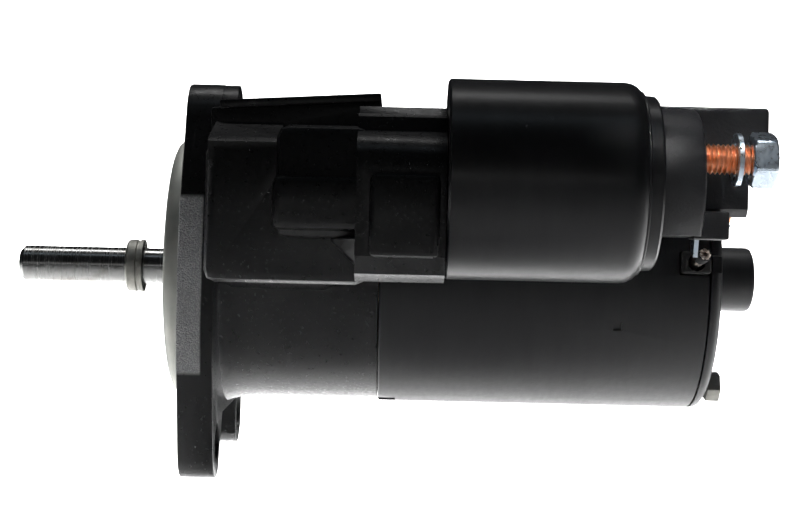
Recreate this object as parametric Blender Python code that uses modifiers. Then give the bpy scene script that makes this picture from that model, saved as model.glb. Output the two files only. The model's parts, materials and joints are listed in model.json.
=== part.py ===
"""Car starter motor with its solenoid, as an assembly of separate solids.

The armature axis is X. The origin is where that axis meets the flange's mounting face: -X points
along the shaft nose into the gearbox, +X towards the rear cap. The solenoid lies beside the motor.
"""

import math

import bmesh
import bpy
from mathutils import Matrix, Vector

MM = 0.001
GAP = 0.3

# Armature axis
NOSE_TIP_X = -53.5
NOSE_R = 5.3
SPLINE_R = 8.0
REAR_JOURNAL_R = 5.0
PILOT_R = 38.0
PILOT_FRONT_X = -6.0
BARREL_R = 38.0
BARREL_END_X = 54.6
GEAR_SPACE_R = 27.0
MID_PLATE_X = 50.3
YOKE_R = 38.75
YOKE_INNER_R = 36.0
YOKE_END_X = 147.3
CAP_FACE_X = 151.2
CUP_END_X = 166.0

# Solenoid axis, parallel to the armature axis
SOLENOID_Y = -62.7
SOLENOID_Z = 25.0
SOLENOID_DISTANCE = math.hypot(SOLENOID_Y, SOLENOID_Z)
TILT = math.atan2(SOLENOID_Z, SOLENOID_Y) - math.pi
CAN_R = 26.5
CAN_FRONT_X = 72.3
CAN_CRIMP_X = 123.3
CRIMP_END_X = 127.0
CAP_END_X = 138.0
CAP_FLOOR_Z = 11.2
STUD_END_X = 157.2
BATTERY_STUD = (SOLENOID_Y - 10.0, SOLENOID_Z + 6.2)
MOTOR_STUD = (SOLENOID_Y + 9.5, SOLENOID_Z - 7.4)

# Shift mechanism
PIVOT_X = 31.0
PIVOT_DISTANCE = 39.4
PLUNGER_TRAVEL = 9.3
HOOK_ARM = SOLENOID_DISTANCE - PIVOT_DISTANCE
LEVER_TILT = math.asin(PLUNGER_TRAVEL / 2 / HOOK_ARM)
GROOVE_X = PIVOT_X + PIVOT_DISTANCE * math.tan(LEVER_TILT)
HOOK_X = PIVOT_X - HOOK_ARM * math.tan(LEVER_TILT)
PINION_FRONT_X = -2.5
PINION_TEETH = 9

# Motor parts
BOLT_CIRCLE_R = 33.2
BOLT_R = 2.4
BOLT_ANGLES = (math.radians(-107), math.radians(73))
MAGNET_ANGLES = tuple(math.radians(28 + 90 * i) for i in range(4))
BRUSH_ANGLES = tuple(math.radians(28 + 90 * i) for i in range(4))
COMMUTATOR_R = 16.0
LEAD_ANGLE = math.radians(173.5)

FINE = 48
COARSE = 20

parts = None
cutters = None


def clear_scene():
    for old in list(bpy.data.objects):
        bpy.data.objects.remove(old)


def collection(name):
    made = bpy.data.collections.new(name)
    bpy.context.scene.collection.children.link(made)
    return made


def material(name, colour, roughness, metallic):
    made = bpy.data.materials.new(name)
    made.use_nodes = True
    shader = made.node_tree.nodes["Principled BSDF"]
    shader.inputs["Base Color"].default_value = (*colour, 1)
    shader.inputs["Roughness"].default_value = roughness
    shader.inputs["Metallic"].default_value = metallic
    return made


def add(name, mesh, look=None):
    """Links a mesh as a part when it has a look, and as a hidden cutter when it has none."""
    made = bpy.data.objects.new(name, mesh)
    (parts if look else cutters).objects.link(made)
    if look:
        mesh.materials.append(look)
    else:
        made.hide_render = True
        made.display_type = "WIRE"
    return made


def smooth(mesh, degrees=35):
    mesh.shade_smooth()
    mesh.set_sharp_from_angle(angle=math.radians(degrees))


def mesh_from(name, shape):
    mesh = bpy.data.meshes.new(name)
    shape.to_mesh(mesh)
    shape.free()
    return mesh


def turned(name, profile, look=None, y=0.0, z=0.0, segments=FINE):
    """Turns (x, radius) points about a line along X. Points at radius 0 close the ends."""
    area = sum(
        (b[0] - a[0]) * (b[1] + a[1]) for a, b in zip(profile, profile[1:] + profile[:1])
    )
    points = profile if area < 0 else profile[::-1]
    ring = all(radius > 0 for _, radius in points)
    shape = bmesh.new()
    verts = [shape.verts.new((radius * MM, 0, x * MM)) for x, radius in points]
    for first, second in zip(verts, verts[1:] + (verts[:1] if ring else [])):
        if ring or first.co.x > 0 or second.co.x > 0:
            shape.edges.new((first, second))
    made = add(name, mesh_from(name, shape), look)
    made.rotation_euler = (0, math.pi / 2, 0)
    made.location = (0, y * MM, z * MM)
    screw = made.modifiers.new("Turn", "SCREW")
    screw.axis = "Z"
    screw.steps = segments
    screw.render_steps = segments
    screw.use_merge_vertices = True
    screw.merge_threshold = 0.00001
    screw.use_smooth_shade = True
    return made


def rod(name, x0, x1, radius, look=None, y=0.0, z=0.0, segments=COARSE, chamfer=0.0):
    """A round bar along X with chamfered ends."""
    profile = [(x0, 0), (x0, radius - chamfer), (x0 + chamfer, radius)]
    profile += [(x1 - chamfer, radius), (x1, radius - chamfer), (x1, 0)]
    if not chamfer:
        profile = [(x0, 0), (x0, radius), (x1, radius), (x1, 0)]
    return turned(name, profile, look, y, z, segments)


def ring(name, x0, x1, inner, outer, look=None, y=0.0, z=0.0, segments=COARSE, chamfer=0.0):
    """A ring about a line along X, its outer corners chamfered."""
    profile = [(x0, inner), (x0, outer - chamfer), (x0 + chamfer, outer)]
    profile += [(x1 - chamfer, outer), (x1, outer - chamfer), (x1, inner)]
    if not chamfer:
        profile = [(x0, inner), (x0, outer), (x1, outer), (x1, inner)]
    return turned(name, profile, look, y, z, segments)


def turn_about_x(made, angle, pivot=(0, 0, 0)):
    """Turns an object about a line along X through pivot, in millimetres."""
    centre = Vector(pivot) * MM
    spin = Matrix.Translation(centre) @ Matrix.Rotation(angle, 4, "X") @ Matrix.Translation(-centre)
    made.matrix_world = spin @ made.matrix_basis
    return made


def box(name, low, high, look=None, angle=0.0, bevel=0.0, segments=2):
    """A box between two corners, turned about the armature axis by angle."""
    size = [(b - a) * MM for a, b in zip(low, high)]
    shape = bmesh.new()
    bmesh.ops.create_cube(shape, size=1.0)
    bmesh.ops.scale(shape, vec=size, verts=shape.verts)
    mesh = mesh_from(name, shape)
    made = add(name, mesh, look)
    made.location = [(a + b) / 2 * MM for a, b in zip(low, high)]
    if bevel:
        edge = made.modifiers.new("Edges", "BEVEL")
        edge.width = bevel * MM
        edge.segments = segments
        smooth(mesh)
    return turn_about_x(made, angle) if angle else made


def outline(name, points, x0, x1, look=None, bevel=0.0):
    """A flat outline of (y, z) points, thickened from x0 to x1."""
    curve = bpy.data.curves.new(name, "CURVE")
    curve.dimensions = "2D"
    curve.fill_mode = "BOTH"
    curve.extrude = (x1 - x0) / 2 * MM
    spline = curve.splines.new("POLY")
    spline.points.add(len(points) - 1)
    for point, (y, z) in zip(spline.points, points):
        point.co = (y * MM, z * MM, 0, 1)
    spline.use_cyclic_u = True
    guide = bpy.data.objects.new(name + "_outline", curve)
    cutters.objects.link(guide)
    # The outline's own x, y and z become Y, Z and X.
    guide.matrix_world = Matrix.Translation(((x0 + x1) / 2 * MM, 0, 0)) @ Matrix(
        ((0, 0, 1, 0), (1, 0, 0, 0), (0, 1, 0, 0), (0, 0, 0, 1))
    )
    bpy.context.view_layer.update()
    mesh = curve_mesh(guide)
    made = add(name, mesh, look)
    made.matrix_world = guide.matrix_world
    bpy.data.objects.remove(guide)
    if bevel:
        edge = made.modifiers.new("Edges", "BEVEL")
        edge.width = bevel * MM
        edge.segments = 2
    return made


def curve_mesh(guide):
    """The closed mesh of a curve object."""
    evaluated = guide.evaluated_get(bpy.context.evaluated_depsgraph_get())
    mesh = bpy.data.meshes.new_from_object(evaluated)
    shape = bmesh.new()
    shape.from_mesh(mesh)
    bmesh.ops.remove_doubles(shape, verts=shape.verts, dist=0.000001)
    shape.to_mesh(mesh)
    shape.free()
    mesh.materials.clear()
    return mesh


def arc(centre, radius, start, end, steps):
    """Points on an arc in the (y, z) plane, its angles in degrees."""
    angles = [math.radians(start + (end - start) * i / steps) for i in range(steps + 1)]
    return [
        (centre[0] + radius * math.cos(a), centre[1] + radius * math.sin(a)) for a in angles
    ]


def hexagon(across, centre, turn=0.0):
    corner = across / math.sqrt(3)
    return arc(centre, corner, turn, turn + 300, 5)


def combine(made, others, operation):
    for other in others:
        step = made.modifiers.new(other.name, "BOOLEAN")
        step.operation = operation
        step.object = other
        step.solver = "EXACT"
    return made


def join(made, *others):
    return combine(made, others, "UNION")


def cut(made, *others):
    return combine(made, others, "DIFFERENCE")


def polar(radius, angle):
    return radius * math.cos(angle), radius * math.sin(angle)


def wire(name, points, radius, look, resolution=2):
    """A round wire through points in millimetres."""
    curve = bpy.data.curves.new(name, "CURVE")
    curve.dimensions = "3D"
    curve.bevel_depth = radius * MM
    curve.bevel_resolution = resolution
    curve.use_fill_caps = True
    spline = curve.splines.new("POLY")
    spline.points.add(len(points) - 1)
    for point, place in zip(spline.points, points):
        point.co = (*(Vector(place) * MM), 1)
    made = bpy.data.objects.new(name, curve)
    curve.materials.append(look)
    parts.objects.link(made)
    return made


def coil_points(length, radius, turns, per_turn=10):
    """A helix along local X from 0 to length."""
    count = turns * per_turn
    return [
        Vector((length * i / count, *polar(radius, 2 * math.pi * i / per_turn)))
        for i in range(count + 1)
    ]


def lug(name, centre, radius, x0, x1):
    return outline(name, arc(centre, radius, 5, 347, 19), x0, x1)


def drive_end_housing(look):
    """The casting: pilot collar, flange with three lugs, gear space and the shift lever's chamber."""
    top, near, far = (-27.4, 40.2), (-32, -49), (30, -46)
    body = turned(
        "drive_end_housing",
        [
            (PILOT_FRONT_X, 0), (PILOT_FRONT_X, 35.6), (-5.4, 37.0), (-4.2, 37.8),
            (-3, PILOT_R), (0.4, PILOT_R), (0.4, 40.6), (8, 40.6), (11, 39.4), (15, 38.4),
            (20, BARREL_R), (BARREL_END_X, BARREL_R), (BARREL_END_X, 0),
        ],
        look,
    )
    gear_space = turned(
        "gear_space",
        [
            (-7, 0), (-7, 31), (2, 31), (4, GEAR_SPACE_R), (50, GEAR_SPACE_R), (50, 36.3),
            (56, 36.3), (56, 0),
        ],
    )
    flange = outline(
        "flange",
        arc(top, 12, 48, 170, 8) + [(-41.5, 36), (-48.6, 19), (-50.3, 2), (-50.3, -17), (-48.6, -27)]
        + arc(near, 10.4, 190, 300, 7) + [(-19, -42), (22, -41)] + arc(far, 9.6, 220, 360, 8)
        + [(40, -20), (36, 20)],
        0, 10, bevel=0.6,
    )
    chamber = outline(
        "solenoid_seat",
        [
            (-36, 44), (-60, 44), (-63, 41.6), (-72.6, 41), (-73.4, 40.2), (-74, 36.6),
            (-78, 35.2), (-81.5, 33), (-83.6, 29.8), (-84, 26), (-84, 4), (-80.5, -0.5),
            (-74, -2.5), (-36, -2.5),
        ],
        49, 72,
    )
    rib = box("top_rib", (11, -55, 44.3), (54.6, -26, 46.8), bevel=0.5)
    saddle = box("saddle", (9.2, -54.2, 20), (51.2, -10, 44.8), bevel=1)
    for sloped in (rib, saddle):
        sloped.rotation_euler = (0, math.radians(-3.6), 0)
    shoulder = outline(
        "shoulder", [(-73.2, 28), (-73.2, 33), (-71.2, 34.4), (-53, 40), (-53, 28)], 10.2, 28.5,
    )
    web = box("web", (9.8, -58, -14.5), (43.6, -28, 2), angle=math.radians(-14), bevel=4)
    join(
        body,
        flange,
        lug("top_boss", top, 11.8, 4.3, 14),
        box("far_boss", (21.7, -55.2, 3), (38.2, -38, 12)),
        shoulder,
        box("lever_chamber", (9.5, -73.5, -3.5), (52, -20, 33.2), bevel=3),
        box("lever_cover", (28, -76.5, 8), (52.6, -30.7, 37.6), bevel=3.4),
        box("cover_step", (27.2, -78.4, 10.2), (52.3, -70, 24.4), bevel=2.4),
        saddle,
        rib,
        chamber,
        box("seat_pad", (52.5, -85.6, 3.8), (70.5, -78, 25), bevel=1.6),
        web,
    )
    holes = [rod("lug_hole", -1, 17.3, 5.25, None, *centre) for centre in (top, near, far)]
    holes += [rod("bolt_thread", 41.7, 56, 2.7, None, *polar(BOLT_CIRCLE_R, a)) for a in BOLT_ANGLES]
    pin_hole = rod("pin_hole", -15, 15, 3.1, segments=24)
    pin_hole.matrix_world = pivot_place() @ Matrix.Rotation(math.radians(90), 4, "Y") @ (
        pin_hole.matrix_basis
    )
    return cut(
        body,
        gear_space,
        rod("yoke_room", BARREL_END_X + 0.1, 76, YOKE_R + 0.4, segments=FINE),
        box("lever_space", (19, -72.5, -6), (49.8, -20, 6), angle=TILT),
        box("fork_space", (24, -30, -20), (48, 5, 20), angle=TILT),
        rod("plunger_space", 49.6, 76, 14, None, SOLENOID_Y, SOLENOID_Z),
        pin_hole,
        *holes,
    )


def pivot_place():
    """The frame of the lever's pin: its own Y runs from the solenoid to the armature, Z is the pin."""
    return Matrix.Rotation(TILT, 4, "X") @ Matrix.Translation(
        (PIVOT_X * MM, -PIVOT_DISTANCE * MM, 0)
    )


def yoke(look):
    made = ring("yoke", 54.9, YOKE_END_X, YOKE_INNER_R, YOKE_R, look, segments=FINE, chamfer=0.4)
    notch = box("lead_notch", (138.7, -41, -3.3), (149, -34, 3.3), angle=LEAD_ANGLE - math.pi)
    stake = box("stake_mark", (120.8, -41, -1.2), (123.2, -38.0, 1.2), angle=math.radians(21))
    slot = box("locating_slot", (53, -2.5, -41), (60, 2.5, -37.6), angle=math.radians(-12))
    return cut(made, notch, stake, slot)


def end_cap(look):
    made = turned(
        "end_cap",
        [
            (CUP_END_X, 0), (CUP_END_X, 8.2), (CUP_END_X - 0.5, 9.2), (CUP_END_X - 1.4, 9.6),
            (152.3, 9.6), (151.5, 9.9), (CAP_FACE_X, 10.7), (CAP_FACE_X, 35.2), (150.6, 37.0),
            (149.6, 38.3), (148.4, YOKE_R), (YOKE_END_X + GAP, YOKE_R), (YOKE_END_X + GAP, 36.6),
            (149.4, 35.4), (149.4, 8.0), (164.4, 8.0), (164.4, 0),
        ],
        look,
    )
    holes = [rod("cap_hole", 147, 152, 2.7, None, *polar(BOLT_CIRCLE_R, a)) for a in BOLT_ANGLES]
    notch = box("cap_notch", (147, -41, -2.4), (152, -36, 2.4), angle=LEAD_ANGLE - math.pi)
    return cut(made, notch, *holes)


def through_bolts(look):
    for number, angle in enumerate(BOLT_ANGLES, 1):
        centre = polar(BOLT_CIRCLE_R, angle)
        shank = rod(f"through_bolt_{number}", 42, 151.9, BOLT_R, look, *centre, segments=16)
        head = outline("bolt_head", hexagon(8, centre, 10), CAP_FACE_X + GAP, 155.6, bevel=0.4)
        join(shank, head)


def motor_field(magnet_look, core_look, copper):
    for number, angle in enumerate(MAGNET_ANGLES, 1):
        middle = math.degrees(angle)
        outer = arc((0, 0), 35.5, middle - 33, middle + 33, 12)
        inner = arc((0, 0), 30.3, middle + 33, middle - 33, 12)
        outline(f"magnet_{number}", outer + inner, 64, 122, magnet_look)
    slots = [
        box("slot", (67, 24.5, -1.3), (119, 31, 1.3), angle=math.radians(30 * i + 15))
        for i in range(12)
    ]
    cut(ring("armature_core", 68, 118, SPLINE_R + GAP, 29.5, core_look, segments=24), *slots)
    ring("winding_front", 57.5, 67.7, 8.6, 27.5, copper, segments=20, chamfer=3)
    ring("winding_rear", 118.3, 122.7, 8.6, 27.0, copper, segments=20, chamfer=1.5)
    ring("commutator", 123.1, 138, SPLINE_R + GAP, COMMUTATOR_R, copper, segments=24, chamfer=0.5)


def shaft_parts(steel, ring_look, bronze, plate_look):
    turned(
        "armature_shaft",
        [
            (NOSE_TIP_X, 0), (NOSE_TIP_X, 3.9), (NOSE_TIP_X + 1.4, NOSE_R), (-17.9, NOSE_R),
            (-17.9, 4.5), (-16.4, 4.5), (-16.4, NOSE_R), (27.8, NOSE_R), (28.8, SPLINE_R),
            (138.3, SPLINE_R), (138.3, REAR_JOURNAL_R), (162.8, REAR_JOURNAL_R), (163.6, 4.2),
            (163.6, 0),
        ],
        steel, segments=28,
    )
    turned(
        "stop_ring",
        [
            (-21.3, 5.6), (-21.3, 7.2), (-20.7, 7.85), (-18.4, 7.85), (-18.1, 7.5), (-17.6, 7.5),
            (-17.4, 7.85), (-16.4, 7.85), (-16.4, 6.9), (-18.2, 6.9), (-18.2, 5.6),
        ],
        ring_look, segments=28,
    )
    ring("snap_ring", -17.6, -16.7, 4.8, 6.6, steel)
    bolt_holes = [rod("hole", 49, 56, 2.8, None, *polar(BOLT_CIRCLE_R, a)) for a in BOLT_ANGLES]
    plate = ring("mid_bearing_plate", MID_PLATE_X, 54.3, 10.2, 35.9, plate_look, segments=32)
    cut(plate, *bolt_holes)
    ring("mid_bush", MID_PLATE_X, 54.3, SPLINE_R + GAP, 9.9, bronze)
    ring("rear_bush", 153, 162.5, REAR_JOURNAL_R + GAP, 7.7, bronze)


def brush_gear(plate_look, carbon, spring_look):
    plate = ring("brush_plate", 138.9, 140.9, 17.4, 35.5, plate_look, segments=32)
    holes = [rod("hole", 138, 142, 2.8, None, *polar(BOLT_CIRCLE_R, a)) for a in BOLT_ANGLES]
    seats = [box("seat", (125, 33, -5), (140.4, 34.6, 5), angle=a) for a in BRUSH_ANGLES]
    lead_room = box("lead_room", (138, -38, -3.6), (142, -31.5, 3.6), angle=LEAD_ANGLE - math.pi)
    cut(join(plate, *seats), lead_room, *holes)
    for number, angle in enumerate(BRUSH_ANGLES, 1):
        box(f"brush_{number}", (126, 16.3, -4.5), (136, 26, 4.5), carbon, angle=angle)
        spin = Matrix.Rotation(angle, 3, "X")
        turn_out = Matrix.Rotation(math.radians(90), 3, "Z")
        points = [
            spin @ (turn_out @ point + Vector((131, 26.9, 0)))
            for point in coil_points(5.2, 3.0, 3, 7)
        ]
        wire(f"brush_spring_{number}", points, 0.45, spring_look, 0)


def drive_parts(steel, clutch_look):
    """Pinion with its race, the one-way clutch's shell and the sleeve that the fork pushes."""
    tip, root = 12.5, 9.0
    step = 360 / PINION_TEETH
    teeth = []
    for i in range(PINION_TEETH):
        for offset, radius in ((-0.34, root), (-0.13, tip), (0.13, tip), (0.34, root)):
            teeth.append(polar(radius, math.radians((i + offset) * step)))
    pinion = outline("pinion", teeth, PINION_FRONT_X, 12.6, steel)
    join(pinion, rod("race", 11.5, 27, 8.8))
    cut(pinion, rod("pinion_bore", -4, 28, NOSE_R + 0.4))
    turned(
        "clutch_shell",
        [
            (13.3, 9.8), (13.3, 21.8), (14.5, 23), (29.2, 23), (30, 22.2), (30, 8.5), (27.4, 8.5),
            (27.4, 13.6), (16, 13.6), (16, 9.8),
        ],
        clutch_look, segments=28,
    )
    for number in range(1, 6):
        centre = polar(11.2, math.radians(72 * number))
        rod(f"clutch_roller_{number}", 16.4, 26.6, 2.0, steel, *centre, segments=8)
    turned(
        "drive_sleeve",
        [
            (30.3, 8.5), (30.3, 10.2), (GROOVE_X - 4.4, 10.2), (GROOVE_X - 4.4, 14),
            (GROOVE_X - 2.6, 14), (GROOVE_X - 2.6, 10.2), (GROOVE_X + 2.6, 10.2),
            (GROOVE_X + 2.6, 14), (GROOVE_X + 4.4, 14), (GROOVE_X + 4.4, 10.2), (45.5, 10.2),
            (45.5, 8.5),
        ],
        clutch_look, segments=24,
    )


def shift_lever(lever_look, steel):
    """The fork: an eye on the pin, two prongs round the sleeve and a top end in the plunger's slot."""
    place = pivot_place() @ Matrix.Rotation(-LEVER_TILT, 4, "Z")
    along_pin = Matrix.Rotation(math.radians(90), 4, "Y")

    def pin(name, start, end, radius, y, look=None, frame=place):
        made = rod(name, start, end, radius, look, segments=20)
        made.matrix_world = (
            frame @ Matrix.Translation((0, y * MM, 0)) @ along_pin.inverted() @ made.matrix_basis
        )
        return made

    def bar(name, low, high, look=None, bevel=0.0):
        made = box(name, low, high, look, bevel=bevel)
        made.matrix_world = place @ made.matrix_basis
        return made

    lever = bar("fork_lever", (-2.5, -25, -4), (2.5, 17, 4), lever_look, 0.8)
    join(
        lever,
        bar("lever_top", (-2, -31.2, -2.2), (2, -24, 2.2)),
        pin("eye", -4.2, 4.2, 6, 0),
        bar("crossbar", (-1.8, 15, -18), (1.8, 18.5, 18)),
        bar("prong_a", (-1.8, 15.5, 15), (1.8, 41, 18)),
        bar("prong_b", (-1.8, 15.5, -18), (1.8, 41, -15)),
        pin("pad_a", 11.2, 16, 1.9, PIVOT_DISTANCE),
        pin("pad_b", -16, -11.2, 1.9, PIVOT_DISTANCE),
    )
    cut(lever, pin("eye_bore", -6, 6, 3.1, 0))
    pin("lever_pin", -14, 14, 2.8, 0, steel, pivot_place())


def solenoid(can_look, steel, copper, bobbin_look, spring_look):
    y, z = SOLENOID_Y, SOLENOID_Z
    turned(
        "solenoid_can",
        [
            (CAN_FRONT_X, 11.3), (CAN_FRONT_X, 25.9), (CAN_FRONT_X + 0.6, CAN_R), (118.4, CAN_R),
            (120.2, 26.2), (121.6, 25.5), (122.7, 24.3), (CAN_CRIMP_X + 0.3, 23.2),
            (126.4, 23.0), (CRIMP_END_X, 22.4), (CRIMP_END_X, 20.3), (123.1, 20.3),
            (123.1, 24.3), (78, 24.3), (78, 11.3),
        ],
        can_look, y, z,
    )
    turned(
        "bobbin",
        [
            (78.4, 11.3), (78.4, 23.9), (80, 23.9), (80, 12.5), (116.5, 12.5), (116.5, 23.9),
            (118, 23.9), (118, 11.3),
        ],
        bobbin_look, y, z, 24,
    )
    ring("solenoid_coil", 80.3, 116.2, 12.8, 23.6, copper, y, z, 24)
    turned(
        "solenoid_core",
        [(104, 3), (104, 10.8), (118.4, 10.8), (118.4, 24), (122.8, 24), (122.8, 3)],
        steel, y, z, 24,
    )
    tilt_y = -SOLENOID_DISTANCE
    plunger = rod("plunger", 73.2, 93, 10.8, steel, y, z, 24, 0.8)
    tongue = box("tongue", (22.5, tilt_y - 2, -5), (76, tilt_y + 2, 5), angle=TILT)
    collar = rod("collar", 51, 53, 13.3, None, y, z)
    slot = box("slot", (HOOK_X - 3.3, tilt_y - 4, -2.9), (HOOK_X + 3.3, tilt_y + 4, 2.9), angle=TILT)
    cut(join(plunger, tongue, collar), slot)
    centre = Vector((0, y, z))
    spring = [centre + Vector((54.3, 0, 0)) + p for p in coil_points(16.9, 12.5, 4, 10)]
    wire("return_spring", spring, 0.75, spring_look, 0)
    rod("contact_rod", 105, 125.7, 2.5, bobbin_look, y, z, 20)
    middle = [(a + b) / 2 for a, b in zip(BATTERY_STUD, MOTOR_STUD)]
    slope = math.atan2(MOTOR_STUD[1] - BATTERY_STUD[1], MOTOR_STUD[0] - BATTERY_STUD[0])
    bridge = box(
        "contact_bridge",
        (126, middle[0] - 14, middle[1] - 3.5), (128, middle[0] + 14, middle[1] + 3.5), copper,
        bevel=0.5, segments=1,
    )
    turn_about_x(bridge, slope, (0, *middle))
    small = [centre + Vector((128.8, 0, 0)) + p for p in coil_points(4.4, 4.0, 2, 8)]
    wire("contact_spring", small, 0.4, spring_look, 0)


def terminals(plastic, copper, zinc):
    y, z = SOLENOID_Y, SOLENOID_Z
    cap = turned(
        "terminal_cap",
        [
            (CAP_END_X, 0), (CAP_END_X, 18.4), (137.5, 19.4), (136.6, 19.9), (123.2, 19.9),
            (123.2, 17), (134, 17), (134, 0),
        ],
        plastic, y, z, 32,
    )
    below = box("below", (127.4, y - 30, z - 30), (140, y + 30, CAP_FLOOR_Z))
    cut(cap, below)
    lower_barrier = outline(
        "lower_barrier",
        [(-65, 31.5), (-65, 18.7), (-63, 16.7), (-59, 16.7), (-59, 31.5)], 135.6, 151.9,
    )
    join(
        cap,
        box("upper_barrier", (127.7, -64.4, 29), (157.2, -50, 45.6), bevel=1),
        lower_barrier,
        box("spade_shroud", (136.3, y - 10.9, z - 14.6), (145.5, y - 0.9, z - 7.3), bevel=0.6),
    )
    cut(cap, rod("contact_room", 127.4, 133.9, 16.9, None, y, z, 32))
    join(
        cap,
        box("cap_floor", (127.8, y - 14.2, CAP_FLOOR_Z), (136.5, y + 14.2, CAP_FLOOR_Z + 1.5)),
    )
    battery_bore = rod("battery_bore", 133, 140, 4.3, None, *BATTERY_STUD)
    motor_bore = rod("motor_bore", 133, 140, 3.3, None, *MOTOR_STUD)
    spade_room = box("spade_room", (CAP_END_X, y - 9.7, z - 13.4), (147, y - 2.1, z - 8.5))
    cut(cap, battery_bore, motor_bore, spade_room)
    battery = rod("battery_stud", 130.8, STUD_END_X, 4.0, copper, *BATTERY_STUD, 24, 0.8)
    join(battery, rod("head", 130.8, 133.7, 4.9, None, *BATTERY_STUD))
    motor = rod("motor_stud", 130.8, 149.5, 3.0, copper, *MOTOR_STUD, 16, 0.6)
    join(motor, rod("head", 130.8, 133.7, 4.0, None, *MOTOR_STUD))
    ring("battery_washer", 146.6, 147.8, 4.3, 6.9, zinc, *BATTERY_STUD)
    for name, stud, across, bore, x0, x1, turn in (
        ("battery_nut", BATTERY_STUD, 13, 4.3, 150.4, 156.8, 22),
        ("motor_nut", MOTOR_STUD, 10, 3.3, 141.7, 146.5, 5),
    ):
        nut = outline(name, hexagon(across, stud, turn), x0, x1, zinc, bevel=0.5)
        cut(nut, rod("thread", x0 - 1, x1 + 1, bore, None, *stud, 24))
    box("spade_terminal", (CAP_END_X + GAP, y - 9, z - 11.4), (146, y - 2.8, z - 10.6), zinc)


def field_lead(rubber, braid, zinc):
    """The lead from the motor stud into the yoke, with its lug and its grommet."""
    stud_y, stud_z = MOTOR_STUD
    tail = box("tail", (140, stud_y - 2.6, stud_z - 11.5), (141.2, stud_y + 2.6, stud_z - 3.6))
    lug_ring = ring("lead_lug", 140, 141.2, 3.3, 5.4, zinc, stud_y, stud_z, 24)
    join(lug_ring, turn_about_x(tail, math.radians(20), (0, stud_y, stud_z)))
    turn = LEAD_ANGLE - math.pi
    grommet = box("lead_grommet", (139, -41.4, -3.0), (147, -34.4, 3.0), rubber, turn, 0.6)
    bore = rod("bore", 30, 45, 2.5)
    inward = Matrix.Rotation(turn, 4, "X") @ Matrix.Translation((143 * MM, 0, 0))
    bore.matrix_world = inward @ Matrix.Rotation(math.radians(-90), 4, "Z") @ bore.matrix_basis
    cut(grommet, bore)
    low = [Matrix.Rotation(turn, 3, "X") @ Vector((143, -r, 0)) for r in (33, 36, 39, 41.5)]
    high = [Vector(p) for p in ((143.4, -44, 5.0), (143.8, -46.6, 5.4), (143.8, -49.2, 6.8))]
    wire("field_lead", low + high, 2.1, braid)


def build():
    global parts, cutters
    clear_scene()
    parts = collection("starter_motor")
    cutters = collection("cutters")
    black = material("black_paint", (0.02, 0.02, 0.02), 0.35, 0.0)
    can_black = material("satin_black", (0.018, 0.018, 0.02), 0.28, 0.0)
    plastic = material("black_plastic", (0.02, 0.02, 0.022), 0.45, 0.0)
    steel = material("ground_steel", (0.6, 0.6, 0.58), 0.25, 1.0)
    grey = material("phosphated_steel", (0.3, 0.3, 0.28), 0.5, 0.8)
    zinc = material("zinc_plate", (0.6, 0.66, 0.72), 0.3, 1.0)
    copper = material("copper", (0.85, 0.4, 0.22), 0.3, 1.0)
    bronze = material("sintered_bronze", (0.55, 0.38, 0.2), 0.5, 1.0)
    ferrite = material("ferrite", (0.05, 0.05, 0.055), 0.7, 0.0)
    laminations = material("laminations", (0.25, 0.25, 0.26), 0.5, 0.9)
    carbon = material("copper_carbon", (0.22, 0.15, 0.12), 0.6, 0.3)
    spring_steel = material("spring_steel", (0.4, 0.4, 0.42), 0.35, 1.0)
    nylon = material("nylon", (0.1, 0.1, 0.09), 0.5, 0.0)
    rubber = material("rubber", (0.02, 0.02, 0.02), 0.8, 0.0)
    braid = material("braid", (0.6, 0.45, 0.35), 0.45, 0.9)

    drive_end_housing(black)
    yoke(can_black)
    end_cap(can_black)
    through_bolts(grey)
    motor_field(ferrite, laminations, copper)
    shaft_parts(steel, grey, bronze, grey)
    brush_gear(nylon, carbon, spring_steel)
    drive_parts(steel, grey)
    shift_lever(nylon, steel)
    solenoid(can_black, steel, copper, nylon, spring_steel)
    terminals(plastic, copper, zinc)
    field_lead(rubber, braid, zinc)


build()
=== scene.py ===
"""Looks of the car starter motor: materials, threads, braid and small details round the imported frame."""

import json
import math

import bmesh
import bpy
from mathutils import Matrix, Vector


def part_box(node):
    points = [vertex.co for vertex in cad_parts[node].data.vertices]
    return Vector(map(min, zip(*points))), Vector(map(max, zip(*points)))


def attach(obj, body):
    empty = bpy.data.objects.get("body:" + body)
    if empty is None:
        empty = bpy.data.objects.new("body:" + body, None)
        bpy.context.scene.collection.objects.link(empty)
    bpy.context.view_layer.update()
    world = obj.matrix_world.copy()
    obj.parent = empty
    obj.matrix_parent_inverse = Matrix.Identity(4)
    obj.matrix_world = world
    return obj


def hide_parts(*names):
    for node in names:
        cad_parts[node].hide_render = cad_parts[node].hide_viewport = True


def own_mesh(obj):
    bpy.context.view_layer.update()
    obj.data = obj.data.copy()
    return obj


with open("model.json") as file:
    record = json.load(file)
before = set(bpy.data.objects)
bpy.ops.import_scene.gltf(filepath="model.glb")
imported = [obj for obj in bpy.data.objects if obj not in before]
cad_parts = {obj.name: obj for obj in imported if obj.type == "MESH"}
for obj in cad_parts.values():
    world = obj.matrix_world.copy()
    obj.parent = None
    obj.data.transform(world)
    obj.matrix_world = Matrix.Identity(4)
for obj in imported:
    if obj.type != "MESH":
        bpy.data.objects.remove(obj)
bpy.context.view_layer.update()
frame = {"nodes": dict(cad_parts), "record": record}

MM = 0.001
BATTERY_PITCH = 1.25 * MM
MOTOR_PITCH = 0.001
CAMERA_DISTANCE = 0.510
CAMERA_X = 0.0606
CAMERA_Z = 0.0017
CAMERA_ROLL = math.radians(1.35)
LENS_MM = 76.05
FLOOR_Z = -0.135

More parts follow.
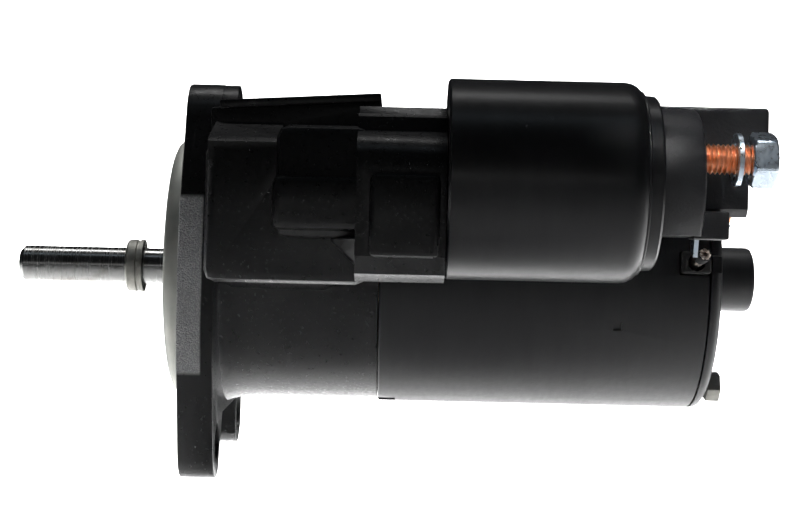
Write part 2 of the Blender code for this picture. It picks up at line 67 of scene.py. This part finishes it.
# Where the casting is bare, in metres: the pilot collar, and a patch of the flange's near edge
COLLAR_X = (-0.02, 0.0002)
BARE_EDGE_X = (-0.001, 0.0066)
BARE_EDGE_Y = (-0.06, -0.0404)
BARE_EDGE_Z = (-0.029, 0.0195)

# Vertices closer together than this are joined, in metres
WELD_DISTANCE = 0.000002


# ---------------------------------------------------------------- shader helpers

class Look:
    """A material under construction: its shader, its coordinates and the nodes between them."""

    def __init__(self, name, colour, roughness, metallic=0.0, **sockets):
        self.made = bpy.data.materials.new(name)
        self.made.use_nodes = True
        self.nodes = self.made.node_tree.nodes
        self.links = self.made.node_tree.links
        self.shader = self.nodes["Principled BSDF"]
        self.shader.inputs["Base Color"].default_value = (*colour, 1)
        self.shader.inputs["Roughness"].default_value = roughness
        self.shader.inputs["Metallic"].default_value = metallic
        for socket, value in sockets.items():
            self.shader.inputs[socket.replace("_", " ")].default_value = value
        self.place = self.nodes.new("ShaderNodeTexCoord").outputs["Object"]
        self.height = None

    def stretched(self, scale):
        """Object coordinates scaled along each axis."""
        node = self.nodes.new("ShaderNodeMapping")
        node.inputs["Scale"].default_value = scale
        self.links.new(self.place, node.inputs["Vector"])
        return node.outputs["Vector"]

    def noise(self, scale, detail=4.0, stretch=None):
        node = self.nodes.new("ShaderNodeTexNoise")
        node.inputs["Scale"].default_value = scale
        node.inputs["Detail"].default_value = detail
        self.links.new(self.stretched(stretch) if stretch else self.place, node.inputs["Vector"])
        return node.outputs["Fac"]

    def cells(self, scale):
        node = self.nodes.new("ShaderNodeTexVoronoi")
        node.inputs["Scale"].default_value = scale
        self.links.new(self.place, node.inputs["Vector"])
        return node.outputs["Distance"]

    def bands(self, scale, direction, distortion=0.0):
        node = self.nodes.new("ShaderNodeTexWave")
        node.bands_direction = direction
        node.inputs["Scale"].default_value = scale
        node.inputs["Distortion"].default_value = distortion
        self.links.new(self.place, node.inputs["Vector"])
        return node.outputs["Fac"]

    def ramp(self, source, low, high, start=0.0, end=1.0):
        """Maps a value from low..high to start..end."""
        node = self.nodes.new("ShaderNodeMapRange")
        node.inputs["From Min"].default_value = low
        node.inputs["From Max"].default_value = high
        node.inputs["To Min"].default_value = start
        node.inputs["To Max"].default_value = end
        self.links.new(source, node.inputs["Value"])
        return node.outputs["Result"]

    def math(self, operation, first, second):
        node = self.nodes.new("ShaderNodeMath")
        node.operation = operation
        for slot, value in zip(node.inputs, (first, second)):
            if isinstance(value, (int, float)):
                slot.default_value = value
            else:
                self.links.new(value, slot)
        return node.outputs["Value"]

    def axis(self, name):
        node = self.nodes.new("ShaderNodeSeparateXYZ")
        self.links.new(self.place, node.inputs["Vector"])
        return node.outputs[name]

    def mix(self, factor, first, second):
        node = self.nodes.new("ShaderNodeMix")
        node.data_type = "RGBA"
        self.links.new(factor, node.inputs["Factor"])
        for slot, value in ((node.inputs["A"], first), (node.inputs["B"], second)):
            if isinstance(value, tuple):
                slot.default_value = (*value, 1)
            else:
                self.links.new(value, slot)
        return node.outputs["Result"]

    def colour(self, source):
        self.links.new(source, self.shader.inputs["Base Color"])
        return self

    def roughness(self, source):
        self.links.new(source, self.shader.inputs["Roughness"])
        return self

    def metallic(self, source):
        self.links.new(source, self.shader.inputs["Metallic"])
        return self

    def bump(self, source, depth, strength=1.0):
        """Adds a relief of the given depth in metres on top of any earlier one."""
        node = self.nodes.new("ShaderNodeBump")
        node.inputs["Strength"].default_value = strength
        node.inputs["Distance"].default_value = depth
        self.links.new(source, node.inputs["Height"])
        if self.height:
            self.links.new(self.height, node.inputs["Normal"])
        self.height = node.outputs["Normal"]
        self.links.new(self.height, self.shader.inputs["Normal"])
        return self


# ---------------------------------------------------------------- materials

def inside(look, name, low, high, blur):
    """1 where a coordinate lies between low and high, with edges blurred over blur."""
    value = look.axis(name)
    rising = look.ramp(value, low - blur, low + blur)
    falling = look.ramp(value, high - blur, high + blur, 1.0, 0.0)
    return look.math("MULTIPLY", rising, falling)


def cast_paint():
    """Black paint over a casting, with a bare pilot collar and a rough bare flange edge."""
    look = Look("cast_paint", (0.012, 0.012, 0.013), 0.32, Specular_IOR_Level=0.4)
    rough_cast = look.cells(2000)
    grain = look.noise(900, 5)
    collar = inside(look, "X", *COLLAR_X, 0.00015)
    across = inside(look, "X", *BARE_EDGE_X, 0.0002)
    edge = look.math("MULTIPLY", across, inside(look, "Y", *BARE_EDGE_Y, 0.0003))
    edge = look.math("MULTIPLY", edge, inside(look, "Z", *BARE_EDGE_Z, 0.0006))
    bare = look.math("MAXIMUM", collar, edge)
    dust = look.ramp(look.noise(60, 5), 0.35, 0.75)
    paint = look.mix(dust, (0.006, 0.006, 0.0065), (0.011, 0.011, 0.0115))
    stain = look.ramp(look.noise(90, 6), 0.35, 0.7)
    metal = look.mix(stain, (0.36, 0.37, 0.34), (0.50, 0.50, 0.46))
    sparkle = look.mix(look.ramp(rough_cast, 0.1, 0.6), (0.62, 0.62, 0.61), (0.36, 0.36, 0.37))
    metal = look.mix(edge, metal, sparkle)
    look.colour(look.mix(bare, paint, metal))
    look.metallic(look.math("MULTIPLY", collar, 0.6))
    worn = look.ramp(grain, 0.3, 0.7, 0.25, 0.42)
    look.roughness(look.math("MAXIMUM", worn, look.math("MULTIPLY", bare, 0.48)))
    look.bump(grain, 0.00002)
    return look.bump(look.math("MULTIPLY", rough_cast, edge), 0.0004).made


def satin_paint(name, roughness, grain_depth):
    """Satin black paint on drawn steel, with a slight orange peel and faint dusty streaks."""
    look = Look(name, (0.010, 0.010, 0.011), roughness, Specular_IOR_Level=0.45)
    streaks = look.ramp(look.noise(40, 2, (6, 1, 1)), 0.2, 0.8)
    look.colour(look.mix(streaks, (0.007, 0.007, 0.008), (0.012, 0.012, 0.013)))
    wear = look.noise(240, 3, (3, 1, 1))
    look.roughness(look.ramp(wear, 0.2, 0.8, roughness - 0.03, roughness + 0.05))
    look.bump(look.noise(420, 2), grain_depth)
    return look.bump(look.noise(1600, 2), grain_depth / 3).made


def ground_steel():
    """Steel ground round and round, with faint lines across the axis and a few dull stains."""
    look = Look("ground_steel", (0.26, 0.26, 0.26), 0.26, 1.0)
    lines = look.noise(60, 4, (40, 1, 1))
    stains = look.ramp(look.noise(120, 6), 0.5, 0.7)
    look.colour(look.mix(stains, (0.29, 0.29, 0.285), (0.17, 0.16, 0.145)))
    look.roughness(look.ramp(lines, 0.3, 0.7, 0.14, 0.34))
    return look.bump(lines, 0.000008).made


def dull_metal(name, dark, light, roughness, metallic=0.9):
    """Phosphated, sintered or cast metal: mottled, fine grained and fairly matt."""
    look = Look(name, dark, roughness, metallic)
    look.colour(look.mix(look.ramp(look.noise(260, 6), 0.3, 0.7), dark, light))
    look.roughness(look.ramp(look.noise(500, 4), 0.3, 0.7, roughness - 0.08, roughness + 0.1))
    return look.bump(look.noise(1400, 4), 0.00006).made


def copper():
    """Bare copper with pink and orange patches and thin dark oxide."""
    look = Look("copper", (0.85, 0.42, 0.24), 0.28, 1.0)
    warm = look.mix(look.ramp(look.noise(300, 5), 0.35, 0.65), (0.95, 0.42, 0.22), (0.98, 0.55, 0.36))
    oxide = look.ramp(look.noise(500, 6), 0.58, 0.72)
    look.colour(look.mix(oxide, warm, (0.62, 0.26, 0.14)))
    look.roughness(look.ramp(look.noise(700, 4), 0.3, 0.7, 0.32, 0.5))
    return look.bump(look.noise(2200, 3), 0.00003).made


def windings():
    """Enamelled copper wire: the turns show as close bands across the axis, darker between the turns as
    painted shade.
    """
    look = Look("windings", (0.55, 0.2, 0.08), 0.3, 0.85)
    turns = look.bands(420, "X", 0.6)
    # The dark part of each band is painted shade in the crease between turns; the same bands also drive the
    # relief.
    look.colour(look.mix(turns, (0.22, 0.06, 0.025), (0.66, 0.27, 0.11)))
    return look.bump(turns, 0.0004).made


def laminations():
    """Stacked sheet steel: thin dark lines across the axis."""
    look = Look("laminations", (0.25, 0.25, 0.26), 0.45, 0.9)
    sheets = look.bands(640, "X", 0.2)
    look.colour(look.mix(sheets, (0.12, 0.11, 0.11), (0.34, 0.34, 0.35)))
    return look.bump(sheets, 0.00015).made


def zinc():
    """Bright zinc with a faint blue passivation and small wear marks."""
    look = Look("zinc", (0.62, 0.68, 0.75), 0.26, 1.0)
    tint = look.ramp(look.noise(220, 2), 0.2, 0.8)
    look.colour(look.mix(tint, (0.55, 0.66, 0.78), (0.70, 0.76, 0.80)))
    look.roughness(look.ramp(look.noise(800, 2), 0.2, 0.8, 0.24, 0.34))
    return look.bump(look.noise(1200, 2), 0.00001).made


def moulded(name, dark, light, roughness):
    """Moulded plastic or rubber: fine matt grain with faint flow marks."""
    look = Look(name, dark, roughness)
    look.colour(look.mix(look.ramp(look.noise(80, 5), 0.3, 0.7), dark, light))
    look.roughness(look.ramp(look.noise(300, 4), 0.3, 0.7, roughness - 0.06, roughness + 0.08))
    return look.bump(look.noise(1500, 4), 0.00008).made


LOOKS = {
    "black_paint": cast_paint(),
    "satin_black": satin_paint("yoke_paint", 0.42, 0.00004),
    "phosphated_steel": dull_metal("phosphated_steel", (0.24, 0.24, 0.22), (0.36, 0.35, 0.32), 0.48),
    "ferrite": dull_metal("ferrite", (0.035, 0.035, 0.038), (0.07, 0.07, 0.075), 0.7, 0.1),
    "copper": copper(),
    "ground_steel": ground_steel(),
    "bronze": dull_metal("sintered_bronze", (0.42, 0.27, 0.13), (0.60, 0.42, 0.22), 0.45),
    "nylon": moulded("nylon", (0.045, 0.045, 0.042), (0.075, 0.075, 0.07), 0.5),
    "copper_carbon": dull_metal("copper_carbon", (0.13, 0.09, 0.07), (0.30, 0.18, 0.13), 0.55, 0.5),
    "spring_steel": dull_metal("spring_steel", (0.36, 0.36, 0.38), (0.5, 0.5, 0.52), 0.3, 1.0),
    "black_plastic": moulded("black_plastic", (0.009, 0.009, 0.010), (0.018, 0.018, 0.020), 0.40),
    "zinc_plate": zinc(),
    "rubber": moulded("rubber", (0.012, 0.012, 0.012), (0.022, 0.022, 0.022), 0.75),
    "braid": dull_metal("tinned_braid", (0.55, 0.42, 0.34), (0.80, 0.74, 0.68), 0.34, 1.0),
    "laminations": laminations(),
}
CAN_PAINT = satin_paint("can_paint", 0.30, 0.000015)
WINDINGS = windings()
OWN_LOOK = {
    "solenoid_can": CAN_PAINT,
    "solenoid_coil": WINDINGS,
    "winding_front": WINDINGS,
    "winding_rear": WINDINGS,
}
# Edge rounding of the nodes whose sharp corners show, in millimetres
ROUNDED = {"drive_end_housing": 0.35, "terminal_cap": 0.3, "yoke": 0.15, "lead_grommet": 0.3}


def finish_nodes():
    """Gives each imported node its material, smooth faces and, where they show, rounded edges."""
    slots = {part["node"]: part["material_slot"] for part in frame["record"]["subparts"]}
    for name, node in frame["nodes"].items():
        node.data.materials.clear()
        node.data.materials.append(OWN_LOOK.get(name) or LOOKS[slots[name]])
        weld = node.modifiers.new("Weld", "WELD")
        weld.merge_threshold = WELD_DISTANCE
        node.data.shade_smooth()
        if name in ROUNDED:
            edge = node.modifiers.new("Edges", "BEVEL")
            edge.width = ROUNDED[name] * MM
            edge.segments = 2
            edge.limit_method = "ANGLE"
            edge.angle_limit = math.radians(40)
            edge.use_clamp_overlap = True
        split = node.modifiers.new("Creases", "EDGE_SPLIT")
        split.split_angle = math.radians(32)


# ---------------------------------------------------------------- pieces

def add_piece(name, shape, look, body, slot, *nodes, crease=35):
    """Adds a mesh that rides on a body, in the place of the given nodes if there are any."""
    mesh = bpy.data.meshes.new(name)
    shape.to_mesh(mesh)
    shape.free()
    mesh.materials.append(look)
    mesh.shade_smooth()
    mesh.set_sharp_from_angle(angle=math.radians(crease))
    made = bpy.data.objects.new(name, mesh)
    bpy.context.scene.collection.objects.link(made)
    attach(made, body)
    if nodes:
        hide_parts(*nodes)
    return made


def thread_shape(centre, x0, x1, head_end, radius, head_radius, pitch, around=36, along=8):
    """A stud with a helical thread from head_end to x1 and a plain round head from x0."""
    depth = pitch * 0.55
    tip_length = 0.0009
    head = [(x0, head_radius * 0.92), (x0 + 0.0004, head_radius), (head_end, head_radius)]
    rows = [[(x, r)] * around for x, r in head]
    rows.append([(head_end, radius - depth)] * around)
    steps = int((x1 - head_end) / pitch * along)
    for i in range(1, steps + 1):
        x = head_end + (x1 - head_end) * i / steps
        row = []
        for k in range(around):
            phase = ((x - head_end) / pitch - k / around) % 1
            crest = radius - depth * min(1, abs(2 * phase - 1) * 1.15)
            taper = min(1, (x1 - x) / tip_length)
            row.append((x, min(crest, radius - tip_length * (1 - taper))))
        rows.append(row)
    shape = bmesh.new()
    grid = []
    for row in rows:
        ring = []
        for k, (x, r) in enumerate(row):
            turn = 2 * math.pi * k / around
            ring.append(shape.verts.new((x, centre[0] + r * math.cos(turn), centre[1] + r * math.sin(turn))))
        grid.append(ring)
    for first, second in zip(grid, grid[1:]):
        for k in range(around):
            shape.faces.new((first[k], first[k - 1], second[k - 1], second[k]))
    shape.faces.new(grid[0])
    shape.faces.new(grid[-1][::-1])
    bmesh.ops.recalc_face_normals(shape, faces=shape.faces)
    return shape


def middle_of(node):
    """The corners of a node's box, and its centre as seen along X."""
    low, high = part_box(node)
    centre = (low + high) / 2
    return low, high, (centre.y, centre.z)


def threaded_studs():
    """The M8 battery stud and the M6 motor stud, with their threads."""
    head_length = 0.0029
    for node, radius, pitch, head in (
        ("battery_stud", 0.004, BATTERY_PITCH, 0.0049),
        ("motor_stud", 0.003, MOTOR_PITCH, 0.004),
    ):
        low, high, centre = middle_of(node)
        shape = thread_shape(centre, low.x, high.x, low.x + head_length, radius, head, pitch)
        add_piece(node + "_threaded", shape, LOOKS["copper"], "root", "copper", node)


def hex_nut(centre, x0, x1, across, bore, turn):
    """A hexagon nut with round chamfers on both faces and a countersunk bore."""
    around = 72
    face = across / 2 * 0.97
    shoulder = across / 2 + 0.0003
    corner = across / math.sqrt(3)
    profile = (
        (x0, face), (x0 + 0.0003, shoulder), (x0 + 0.0007, corner),
        (x1 - 0.0007, corner), (x1 - 0.0003, shoulder), (x1, face),
    )
    shape = bmesh.new()

    def hexagon_radius(angle):
        local = (angle - turn) % (math.pi / 3) - math.pi / 6
        return across / 2 / math.cos(local)

    outer = []
    for x, limit in profile:
        outer.append([
            (x, min(hexagon_radius(2 * math.pi * k / around), limit)) for k in range(around)
        ])
    inner = [[(x, r)] * around for x, r in (
        (x1, bore + 0.0007), (x1 - 0.0006, bore), (x0 + 0.0006, bore), (x0, bore + 0.0007),
    )]
    grid = []
    for row in outer + inner:
        grid.append([
            shape.verts.new((
                x, centre[0] + r * math.cos(2 * math.pi * k / around),
                centre[1] + r * math.sin(2 * math.pi * k / around),
            )) for k, (x, r) in enumerate(row)
        ])
    for first, second in zip(grid, grid[1:] + grid[:1]):
        for k in range(around):
            shape.faces.new((first[k], first[k - 1], second[k - 1], second[k]))
    bmesh.ops.recalc_face_normals(shape, faces=shape.faces)
    return shape


def nuts():
    """The 13 mm battery nut and the 10 mm motor nut, each turned as it stands."""
    for node, across, bore, turn in (
        ("battery_nut", 0.013, 0.0043, math.radians(22)),
        ("motor_nut", 0.010, 0.0033, math.radians(5)),
    ):
        low, high, centre = middle_of(node)
        shape = hex_nut(centre, low.x, high.x, across, bore, turn)
        add_piece(node + "_chamfered", shape, LOOKS["zinc_plate"], "root", "zinc_plate", node, crease=20)


def live_springs():
    """Springs, each in the place of its stiff solid."""
    springs = [("return_spring", "plunger_slide"), ("contact_spring", "contact_slide")]
    springs += [(f"brush_spring_{number}", f"brush_slide_{number}") for number in range(1, 5)]
    for node, joint in springs:
        low, high, (y, z) = middle_of(node)
        axis = Vector((0, y, z)).normalized() if "brush" in node else Vector((1, 0, 0))
        shape = bmesh.new()
        shape.from_mesh(frame["nodes"][node].data)
        bmesh.ops.remove_doubles(shape, verts=shape.verts, dist=WELD_DISTANCE)
        along = [axis.dot(vert.co) for vert in shape.verts]
        far_end = (low + high) / 2
        far_end += axis * (max(along) - axis.dot(far_end))
        made = add_piece(node + "_live", shape, LOOKS["spring_steel"], "root", "spring_steel", node)
        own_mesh(made)


def casting_fairings():
    """The sloped faces that run from the lever chamber up to the solenoid's seat."""
    seat_x = 51.95
    lower = (
        (41.6, -73.2, 8.6), (seat_x, -83.4, 8.8), (seat_x, -73.2, -1.6), (seat_x, -73.2, 8.8),
        (seat_x, -80.2, -0.2),
    )
    upper = (
        (48.2, -76.3, 30.5), (seat_x, -81.6, 31.0), (seat_x, -76.3, 35.4), (seat_x, -76.3, 25.0),
        (seat_x, -80.4, 27.0), (seat_x, -79.6, 34.0),
    )
    for name, corners in (("lower_fairing", lower), ("upper_fairing", upper)):
        shape = bmesh.new()
        for corner in corners:
            shape.verts.new(Vector(corner) * MM)
        bmesh.ops.convex_hull(shape, input=shape.verts)
        bmesh.ops.recalc_face_normals(shape, faces=shape.faces)
        made = add_piece(name, shape, LOOKS["black_paint"], "root", "black_paint", crease=60)
        edge = made.modifiers.new("Edges", "BEVEL")
        edge.width = 0.0005
        edge.segments = 3


def ejector_marks():
    """Low round domes of the casting die's pins. They lie inside the saddle and do not show."""
    steps, around = 6, 28
    marks = ((26.2, -50.0, 39.6, 1.9), (33.0, -50.0, 40.4, 1.1))
    for number, (x, y, z, radius) in enumerate(marks):
        shape = bmesh.new()
        tip = shape.verts.new((x * MM, (y - radius * 0.7) * MM, z * MM))
        rings = []
        for i in range(1, steps + 1):
            turn = math.pi / 2 * i / steps
            out, rise = radius * math.sin(turn), radius * 0.7 * math.cos(turn)
            out += 0.25 * (i == steps)
            rings.append([
                shape.verts.new((
                    (x + out * math.cos(2 * math.pi * k / around)) * MM,
                    (y - rise + 0.02 * (i == steps)) * MM,
                    (z + out * math.sin(2 * math.pi * k / around)) * MM,
                )) for k in range(around)
            ])
        for k in range(around):
            shape.faces.new((tip, rings[0][k - 1], rings[0][k]))
            for first, second in zip(rings, rings[1:]):
                shape.faces.new((first[k - 1], second[k - 1], second[k], first[k]))
        shape.faces.new(rings[-1][::-1])
        bmesh.ops.recalc_face_normals(shape, faces=shape.faces)
        add_piece(f"ejector_mark_{number + 1}", shape, LOOKS["black_paint"], "root", "black_paint")


def lead_path(count=28):
    """Points along the motor lead, from inside its grommet up to the lug, with a soft bend."""
    low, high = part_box("field_lead")
    radius = 2.1 * MM
    grommet_low, grommet_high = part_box("lead_grommet")
    start = Vector(((grommet_low.x + grommet_high.x) / 2, high.y - 0.2 * MM, low.z + radius))
    end = Vector((high.x - radius, low.y + radius * 0.75, high.z - radius * 0.85))
    bend = Vector((start.x + 0.1 * MM, low.y + 2.6 * radius, start.z + 1.9 * MM))
    points = []
    for i in range(count):
        t = i / (count - 1)
        points.append(start * (1 - t) ** 2 + bend * 2 * t * (1 - t) + end * t * t)
    return points


def curve_piece(name, splines, radius, look, slot, *nodes):
    """Adds round rods along the given rows of points."""
    curve = bpy.data.curves.new(name, "CURVE")
    curve.dimensions = "3D"
    curve.bevel_depth = radius
    curve.bevel_resolution = 3
    curve.use_fill_caps = True
    for points in splines:
        spline = curve.splines.new("POLY")
        spline.points.add(len(points) - 1)
        for point, place in zip(spline.points, points):
            point.co = (*place, 1)
        spline.use_smooth = True
    curve.materials.append(look)
    made = bpy.data.objects.new(name, curve)
    bpy.context.scene.collection.objects.link(made)
    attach(made, "root")
    if nodes:
        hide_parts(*nodes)
    return made


def motor_lead():
    """Tinned copper strands twisted round each other, in a black sleeve at the lug's end."""
    path = lead_path()
    strands, turns, offset = 7, 2.2, 1.15 * MM
    strand_radius = 0.58 * MM
    sleeve_radius = 1.95 * MM
    sleeve_start = 17
    splines = [path]
    for strand in range(strands):
        points = []
        for i, place in enumerate(path):
            along = (path[min(i + 1, len(path) - 1)] - path[max(i - 1, 0)]).normalized()
            side = along.cross(Vector((1, 0, 0))).normalized()
            other = along.cross(side)
            turn = 2 * math.pi * (strand / strands + turns * i / (len(path) - 1))
            points.append(place + offset * (side * math.cos(turn) + other * math.sin(turn)))
        splines.append(points)
    curve_piece("lead_strands", splines, strand_radius, LOOKS["braid"], "braid", "field_lead")
    curve_piece("lead_sleeve", [path[sleeve_start:]], sleeve_radius, LOOKS["rubber"], "rubber")


# ---------------------------------------------------------------- stage

def sheet_of_paper(name, rows):
    """A wide pale sheet through rows of points given as (y, z)."""
    shape = bmesh.new()
    pairs = [[shape.verts.new((x, y, z)) for x in (-2.2, 2.4)] for y, z in rows]
    for first, second in zip(pairs, pairs[1:]):
        shape.faces.new((first[0], first[1], second[1], second[0]))
    mesh = bpy.data.meshes.new(name)
    shape.to_mesh(mesh)
    shape.free()
    mesh.shade_smooth()
    mesh.materials.append(Look(name, (0.9, 0.9, 0.9), 0.9).made)
    made = bpy.data.objects.new(name, mesh)
    bpy.context.scene.collection.objects.link(made)
    return made


def sweep():
    """A pale floor that curves up into a backdrop, which glossy rays pass by."""
    bend, start, steps = 0.35, 0.35, 12
    sheet_of_paper("floor", [(-1.6, FLOOR_Z), (start, FLOOR_Z)])
    rows = [(start, FLOOR_Z)]
    for i in range(1, steps + 1):
        turn = math.pi / 2 * i / steps
        rows.append((start + bend * math.sin(turn), FLOOR_Z + bend * (1 - math.cos(turn))))
    backdrop = sheet_of_paper("backdrop", rows + [(start + bend, 1.6)])
    backdrop.visible_glossy = False


def area_light(name, place, target, size, power, colour=(1, 1, 1), spread=180):
    data = bpy.data.lights.new(name, "AREA")
    data.shape = "RECTANGLE"
    data.size, data.size_y = size
    data.energy = power
    data.spread = math.radians(spread)
    data.color = colour
    lamp = bpy.data.objects.new(name, data)
    lamp.location = place
    lamp.rotation_euler = (Vector(target) - Vector(place)).to_track_quat("-Z", "Y").to_euler()
    bpy.context.scene.collection.objects.link(lamp)
    return lamp


def lights():
    """Lit paper behind and below, weak strips above and in front, and a spot on the terminals.

    Glossy rays pass by the floor's lamp, as they do the backdrop, so the paint's edges stay dark.
    """
    behind = 0.06
    area_light("backdrop_light", (behind, 0.30, 0.85), (behind, 0.72, 0.05), (1.8, 0.4), 21, spread=100)
    below = area_light("floor_light", (behind, 0.32, 0.60), (behind, 0.30, FLOOR_Z), (1.6, 0.4), 8, spread=80)
    below.visible_glossy = False
    area_light("top_strip", (0.08, -0.26, 0.60), (0.08, -0.06, 0.02), (0.8, 0.05), 0.12, (0.75, 0.88, 1.0))
    area_light("front_strip", (-0.02, -0.75, 0.03), (0.0, 0, 0), (0.7, 0.04), 0.12)
    terminals = (0.152, -0.073, 0.031)
    area_light("terminal_light", (0.13, -0.33, 0.36), terminals, (0.04, 0.03), 0.006, spread=8)
    world = bpy.data.worlds.new("studio")
    world.use_nodes = True
    sky = world.node_tree.nodes["Background"].inputs
    sky["Color"].default_value = (0.9, 0.94, 1.0, 1)
    sky["Strength"].default_value = 0.016
    bpy.context.scene.world = world
    bpy.context.scene.view_settings.view_transform = "Standard"


def camera():
    data = bpy.data.cameras.new("camera")
    data.lens = LENS_MM
    data.clip_start = 0.01
    made = bpy.data.objects.new("camera", data)
    made.matrix_world = (
        Matrix.Translation((CAMERA_X, -CAMERA_DISTANCE, CAMERA_Z))
        @ Matrix.Rotation(math.radians(90), 4, "X")
        @ Matrix.Rotation(CAMERA_ROLL, 4, "Z")
    )
    bpy.context.scene.collection.objects.link(made)
    bpy.context.scene.camera = made


camera()
finish_nodes()
threaded_studs()
nuts()
live_springs()
casting_fairings()
ejector_marks()
motor_lead()
sweep()
lights()
